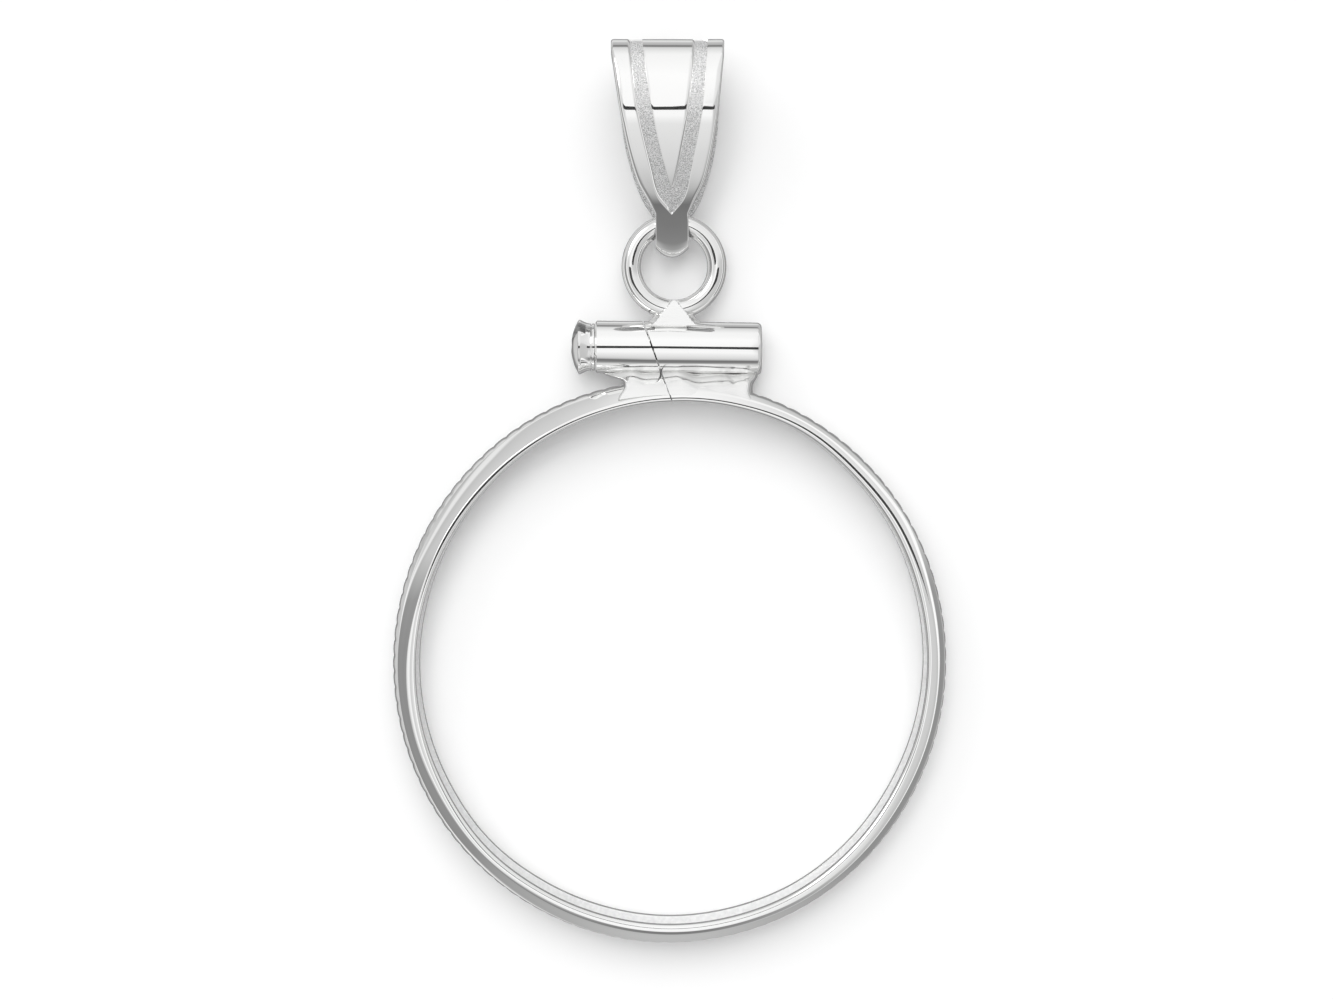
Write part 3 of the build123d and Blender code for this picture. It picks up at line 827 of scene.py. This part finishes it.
def emboss(tree, shader, height):
    """Lets a height in metres bend the light on a surface."""
    bump = node(tree, "ShaderNodeBump", {"Height": height, "Strength": 1.0, "Distance": 1.0})
    tree.links.new(bump.outputs[0], shader["Normal"])


def white_gold(name, tone, roughness, haze, wave, scratch):
    """Polished white gold; wave and scratch are heights in millimetres."""
    material, tree, shader = finish(name, metallic=1.0)
    shader["Base Color"].default_value = (*tone, 1)
    heights = {"Wave Height": wave * MM, "Scratch Height": scratch * MM}
    polish = node(tree, "ShaderNodeGroup", heights, node_tree=POLISH).outputs
    tree.links.new(calc(tree, "MULTIPLY_ADD", polish["Haze"], haze, roughness), shader["Roughness"])
    emboss(tree, shader, polish["Height"])
    return material


def satin_gold():
    """Sandblasted strips: a crowd of tiny pits that glitter."""
    material, tree, shader = finish("satin white gold", metallic=0.45)
    shader["Roughness"].default_value = 0.42
    blasting = {
        "Scale": 36000.0, "Detail": 1.0, "Roughness": 0.6, "Sparse": 0.36, "Dense": 0.62,
        "Dark": 0.40, "Light": 0.96, "Depth": 0.005 * MM,
    }
    grain = node(tree, "ShaderNodeGroup", blasting, node_tree=GRAIN).outputs
    pits = node(tree, "ShaderNodeTexVoronoi", {"Vector": object_place(tree), "Scale": 26000.0})
    tree.links.new(grain["Tone"], shader["Base Color"])
    emboss(tree, shader, calc(tree, "MULTIPLY_ADD", pits.outputs["Distance"], 0.003 * MM, grain["Height"]))
    return material


def matte_gold(name, dark, light):
    """Bare turned or sawn metal that was never polished: dull, with a fine grain between two tones; the
    dark pair given for the screw's slot is painted shade.
    """
    material, tree, shader = finish(name, metallic=0.25)
    shader["Roughness"].default_value = 0.6
    grain_and_tone = {
        "Scale": 9000.0, "Detail": 2.0, "Roughness": 0.5, "Sparse": 0.3, "Dense": 0.7,
        "Dark": dark, "Light": light, "Depth": 0.006 * MM,
    }
    grain = node(tree, "ShaderNodeGroup", grain_and_tone, node_tree=GRAIN).outputs
    tree.links.new(grain["Tone"], shader["Base Color"])
    emboss(tree, shader, grain["Height"])
    return material


bright = white_gold("polished white gold", (0.955, 0.955, 0.95), 0.015, 0.03, 0.003, 0.00003)
soldered = white_gold("soldered white gold", (0.93, 0.93, 0.925), 0.12, 0.08, 0.003, 0.0001)
satin = satin_gold()
matte = matte_gold("matte white gold", 0.80, 0.90)
# the screw slot's dull sawn finish, with a dark tone that is painted shade in the slot
cut = matte_gold("sawn white gold in painted shade", 0.22, 0.50)

# Pieces

frame_pieces = [
    (make_ring(), [bright, matte]),
    (make_barrel_left(), [bright]),
    (make_barrel_right(), [bright]),
    (make_solder("solder_left", -1, -1.66, -1.42, -2.05), [soldered]),
    (make_solder("solder_right", 1, 2.80, 2.56, 2.72), [soldered]),
    (make_loop(), [bright]),
    (make_foot(), [soldered]),
]
screw_pieces = [(make_screw_head(), [bright, cut]), (make_screw_shank(), [bright])]
bail_pieces = [(make_bail(), [bright, satin])]

for body, node_name, made in (
    ("frame", "bezel_frame", frame_pieces),
    ("screw", "clamp_screw", screw_pieces),
    ("bail", "bail", bail_pieces),
):
    for piece, materials in made:
        for material in materials:
            piece.data.materials.append(material)
        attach(piece, body)
        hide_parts(node_name)

# Stage

def stage_plane(name, corners, material):
    """Flat four-cornered thing that isn't part of the object."""
    mesh = bpy.data.meshes.new(name)
    mesh.from_pydata(corners, [], [(0, 1, 2, 3)])
    mesh.materials.append(material)
    plane = bpy.data.objects.new(name, mesh)
    bpy.context.scene.collection.objects.link(plane)
    return plane


def make_floor():
    """White paper; the light tent's lower half takes its place in the metal's reflections."""
    size = 0.6
    corners = [(-size, -size), (size, -size), (size, size), (-size, size)]
    material, tree, shader = finish("studio floor")
    shader["Roughness"].default_value = 1.0
    shader["Specular IOR Level"].default_value = 0.0
    seen = node(tree, "ShaderNodeLightPath").outputs["Is Camera Ray"]
    tree.links.new(grey(tree, map_range(tree, seen, 0.0, 1.0, 0.80, 0.97)), shader["Base Color"])
    floor = stage_plane("floor", [(x, y, -RING_HALF * MM) for x, y in corners], material)
    floor.visible_glossy = False


# Light tent round the object, by direction, as (place, brightness) stops

# over the arc from straight below (0) past the near side (-Y, 0.25), the zenith (0.5)
# and the bright panel beyond the bail (+Y, 0.75)
ALONG = [
    (0.0, 0.30), (0.083, 0.32), (0.139, 0.68), (0.205, 0.60), (0.235, 0.42), (0.252, 0.50), (0.275, 0.52),
    (0.300, 0.45), (0.308, 0.24), (0.341, 0.17), (0.352, 0.50), (0.367, 0.68), (0.389, 0.78),
    (0.417, 0.88), (0.440, 0.98), (0.50, 1.00), (0.60, 1.03), (0.65, 0.97), (0.697, 0.95),
    (0.728, 0.86), (0.75, 0.78), (0.770, 0.69), (0.779, 0.55), (0.785, 0.22), (0.803, 0.22),
    (0.811, 0.45), (0.845, 0.55), (0.889, 0.85), (0.92, 0.32), (1.0, 0.30),
]
# toward the left and the right side, from the zenith (0) past the horizon (0.5) to the floor
LEFTWARD = [
    (0.0, 1.04), (0.06, 1.04), (0.09, 0.80), (0.20, 0.66), (0.27, 0.74), (0.30, 0.98), (0.33, 0.90),
    (0.36, 0.30), (0.395, 0.28), (0.43, 0.29), (0.49, 0.27), (0.505, 0.95), (0.54, 1.0),
    (0.57, 0.62), (0.77, 0.62), (0.83, 0.25), (1.0, 0.25),
]
RIGHTWARD = [
    (0.0, 1.04), (0.025, 0.66), (0.11, 0.62), (0.28, 0.58), (0.395, 0.55), (0.405, 1.05), (0.428, 1.05),
    (0.44, 0.28), (0.50, 0.30), (0.53, 0.55), (0.60, 0.75), (0.64, 0.30), (0.76, 0.28),
    (0.80, 0.55), (0.84, 0.25), (1.0, 0.25),
]
# how much of the side brightness shows, from -Y (0) past the sides (0.5) to +Y (1)
SIDE_SHARE = [
    (0.0, 0.0), (0.03, 0.35), (0.14, 1.0), (0.50, 1.0), (0.585, 0.95), (0.67, 0.55),
    (0.82, 0.45), (0.933, 0.42), (0.97, 0.35), (0.9925, 0.12), (1.0, 0.0),
]
# lamps as azimuth, angle from the zenith, radius and radius of the full brightness, in degrees,
# with their brightness: one that the metal mirrors, and two that light matte metal and the floor
KEY_SPOT, KEY_GAIN = (142, 52, 18, 9), 1.6
HIGH_LAMP, HIGH_GAIN = (135, 15, 20, 5), 3.2
FAR_LAMP, FAR_GAIN = (85, 31, 25, 6), 3.1
TENT_GAIN = 0.88  # for matte metal and the floor
BACKDROP = 0.98  # as the camera sees it


def spot(tree, direction, azimuth, from_zenith, outer, inner):
    """1 within inner degrees of a place in the sky, 0 outside outer degrees."""
    a, r = math.radians(azimuth), math.radians(from_zenith)
    aim = Vector((math.sin(r) * math.cos(a), math.sin(r) * math.sin(a), math.cos(r)))
    both = {0: direction, 1: aim}
    dot = node(tree, "ShaderNodeVectorMath", both, operation="DOT_PRODUCT").outputs["Value"]
    edge, full = math.cos(math.radians(outer)), math.cos(math.radians(inner))
    return map_range(tree, dot, edge, full, interpolation_type="SMOOTHSTEP")


def tent_brightness(tree, direction):
    """The tent by direction: its arc along Y and its two sides, blended by azimuth."""
    x, y, z = node(tree, "ShaderNodeSeparateXYZ", {0: direction}).outputs
    turn = calc(tree, "ARCTAN2", y, z)
    along = ramp(tree, calc(tree, "MULTIPLY_ADD", turn, 0.5 / math.pi, 0.5), ALONG)
    down = calc(tree, "DIVIDE", calc(tree, "ARCCOSINE", z), math.pi)
    to_right = map_range(tree, x, -0.05, 0.05)
    sideways = mix(tree, to_right, ramp(tree, down, LEFTWARD), ramp(tree, down, RIGHTWARD))
    squares = calc(tree, "ADD", calc(tree, "MULTIPLY", x, x), calc(tree, "MULTIPLY", y, y))
    facing = calc(tree, "DIVIDE", y, calc(tree, "MAXIMUM", calc(tree, "SQRT", squares), 0.0001))
    share = ramp(tree, calc(tree, "MULTIPLY_ADD", facing, 0.5, 0.5), SIDE_SHARE)
    return mix(tree, share, along, sideways)


def make_light():
    """World light: what mirrors see, what matte surfaces receive, and a plain backdrop for the camera."""
    world = bpy.data.worlds.new("light tent")
    world.use_nodes = True
    tree = world.node_tree
    tree.nodes.clear()
    direction = node(tree, "ShaderNodeTexCoord").outputs["Generated"]
    tent = tent_brightness(tree, direction)
    mirrored = calc(tree, "MULTIPLY_ADD", spot(tree, direction, *KEY_SPOT), KEY_GAIN, tent)
    high = calc(tree, "MULTIPLY", spot(tree, direction, *HIGH_LAMP), HIGH_GAIN)
    lamps = calc(tree, "MULTIPLY_ADD", spot(tree, direction, *FAR_LAMP), FAR_GAIN, high)
    cast = calc(tree, "ADD", lamps, calc(tree, "MULTIPLY", tent, TENT_GAIN))
    path = node(tree, "ShaderNodeLightPath").outputs
    shown = mix(tree, path["Is Diffuse Ray"], mirrored, cast)
    plain = mix(tree, path["Is Camera Ray"], shown, BACKDROP)
    glow = node(tree, "ShaderNodeBackground", {"Color": (1, 1, 1, 1), "Strength": plain})
    node(tree, "ShaderNodeOutputWorld", {0: glow.outputs[0]})
    bpy.context.scene.world = world


# Camera, as in the photograph: above the ring and the bail, leaned two degrees toward the bail
CAMERA_AIM = Vector((-0.0926, 5.0, 0.0)) * MM
CAMERA_LEAN, CAMERA_DISTANCE = math.radians(2.0), 85.5 * MM
CAMERA_LENS = 74.81
RAIL_HALF_LENGTH, RAIL_HALF_WIDTH, RAIL_BEHIND = 45 * MM, 7.5 * MM, 0.5 * MM


def make_camera():
    place = CAMERA_AIM + Vector((0, math.sin(CAMERA_LEAN), math.cos(CAMERA_LEAN))) * CAMERA_DISTANCE
    back = (place - CAMERA_AIM).normalized()
    right = Vector((1, 0, 0))
    up = back.cross(right)
    lens = bpy.data.cameras.new("camera")
    lens.sensor_width = 36.0
    lens.lens = CAMERA_LENS
    lens.clip_start = 0.002
    lens.clip_end = 5.0
    camera = bpy.data.objects.new("camera", lens)
    camera.matrix_world = Matrix.Translation(place) @ Matrix((right, up, back)).transposed().to_4x4()
    bpy.context.scene.collection.objects.link(camera)
    bpy.context.scene.camera = camera
    return place, right, up, back


def make_rail(place, right, up, back):
    """Dark rail that carries the camera: the metal mirrors it, the camera doesn't see it."""
    centre = place + back * RAIL_BEHIND
    long, deep = right * RAIL_HALF_LENGTH, up * RAIL_HALF_WIDTH
    corners = [centre - long - deep, centre + long - deep, centre + long + deep, centre - long + deep]
    material, _, shader = finish("dark rail")
    shader["Base Color"].default_value = (0.05, 0.05, 0.05, 1)
    shader["Roughness"].default_value = 0.8
    rail = stage_plane("camera_rail", corners, material)
    rail.visible_camera = rail.visible_diffuse = rail.visible_shadow = False


make_floor()
make_light()
make_rail(*make_camera())
bpy.context.scene.view_settings.view_transform = "Standard"
